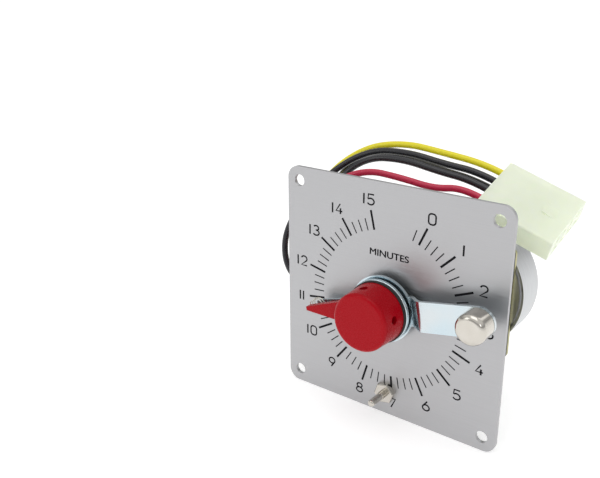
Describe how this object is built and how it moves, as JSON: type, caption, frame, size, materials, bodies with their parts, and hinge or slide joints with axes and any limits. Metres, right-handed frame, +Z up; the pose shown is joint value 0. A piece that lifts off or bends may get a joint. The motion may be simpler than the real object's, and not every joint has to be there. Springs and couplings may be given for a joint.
{
  "type": "interval timer",
  "caption": "Panel-mounted interval timer: square face plate with a minute dial, red pointer knob, setting lever and stop pin, geared motor movement and wired connector.",
  "frame": {"origin": "centre of the four mounting holes, on the back face of the face plate", "axes": "+X to the user's right, +Y into the panel away from the user, +Z up"},
  "size_m": [0.1234, 0.0765, 0.1068],
  "materials": {
    "face_aluminium": "brushed",
    "zinc_steel": "zinc plated",
    "nickel": "polished",
    "steel": "plain",
    "dark_steel": "black oxide",
    "brass": "plain",
    "olive_chromate": "satin",
    "motor_shell": "satin",
    "black_fibre": "matte",
    "black_phenolic": "satin",
    "copper_wire": "enamelled",
    "black_rubber": "matte",
    "nylon": "translucent",
    "tin": "tinned",
    "yellow_insulation": "satin",
    "black_insulation": "satin",
    "red_insulation": "satin",
    "red_plastic": "gloss",
    "white_acetal": "satin"
  },
  "bodies": {
    "chassis": {"face_plate": "face_aluminium", "panel_bushing": "brass", "panel_nut": "zinc_steel", "stop_pin": "nickel", "stop_pin_nut": "nickel", "frame_front_plate": "olive_chromate", "frame_pillar_1": "zinc_steel", "frame_pillar_2": "zinc_steel", "frame_pillar_3": "zinc_steel", "frame_pillar_4": "zinc_steel", "frame_rear_plate": "olive_chromate", "insulator_sheet": "black_fibre", "frame_screws": "zinc_steel", "rear_bearing": "brass", "idler_stud": "steel", "idler_clip": "steel", "switch_spacer": "black_phenolic", "switch_body": "black_phenolic", "switch_pivot": "steel", "switch_screws": "steel", "switch_terminals": "brass", "motor_cover": "motor_shell", "motor_can": "motor_shell", "motor_stator": "steel", "motor_gear_head": "brass", "motor_bobbin": "black_phenolic", "motor_coil": "copper_wire", "motor_rear_bearing": "brass", "motor_screws": "zinc_steel", "motor_grommet": "black_rubber", "connector_housing": "nylon", "connector_terminals": "tin", "lead_yellow": "yellow_insulation", "lead_black_1": "black_insulation", "lead_black_2": "black_insulation", "lead_black_3": "black_insulation", "lead_red": "red_insulation"},
    "hand": {"main_shaft": "steel", "red_knob": "red_plastic", "knob_insert": "brass", "set_screws": "dark_steel", "lever_arm": "zinc_steel", "lever_knob": "nickel", "lever_knob_screw": "zinc_steel", "lever_spacer": "zinc_steel", "zinc_washer": "zinc_steel", "fibre_washer": "black_fibre", "link_spring": "nickel", "switch_cam": "white_acetal", "gear_hub": "brass", "clutch_washer": "steel", "main_gear": "brass", "shaft_clips": "steel"},
    "idler": {"idler_gear": "brass", "idler_pinion": "steel"},
    "motor_output": {"motor_pinion": "steel"},
    "rotor": {"motor_rotor": "dark_steel", "rotor_shaft": "steel"},
    "switch_lever": {"switch_lever": "steel"},
    "switch_button": {"switch_button": "red_plastic"}
  },
  "joints": [
    {"name": "hand_turn", "type": "hinge", "parent": "chassis", "child": "hand", "pos_m": [0, 0, -0.0005], "axis": [0, 1, 0], "range_deg": [-234.8, 87.9]},
    {"name": "idler_turn", "type": "hinge", "parent": "chassis", "child": "idler", "pos_m": [0.01309, 0, -0.00806], "axis": [0, 1, 0], "range_deg": [-352, 940]},
    {"name": "motor_output_turn", "type": "hinge", "parent": "chassis", "child": "motor_output", "pos_m": [0.01715, 0, 0.00442], "axis": [0, 1, 0], "range_deg": [-3945, 1478]},
    {"name": "rotor_turn", "type": "hinge", "parent": "chassis", "child": "rotor", "pos_m": [0.017, 0, 0.0025], "axis": [0, 1, 0], "continuous": true},
    {"name": "switch_lever_press", "type": "hinge", "parent": "chassis", "child": "switch_lever", "pos_m": [-0.0149, 0.0082, -0.0128], "axis": [0, -1, 0], "range_deg": [0, 3.5], "stiffness_Nm_per_rad": 0.02, "springref_deg": -5.73},
    {"name": "switch_button_press", "type": "slide", "parent": "chassis", "child": "switch_button", "axis": [-1, 0, 0], "range_m": [0, 0.0005]}
  ],
  "couplings": [
    {"joint": "idler_turn", "follows": "hand_turn", "ratio": -4},
    {"joint": "motor_output_turn", "follows": "hand_turn", "ratio": 16.8},
    {"joint": "switch_button_press", "follows": "switch_lever_press", "m_per_rad": 0.0068}
  ]
}
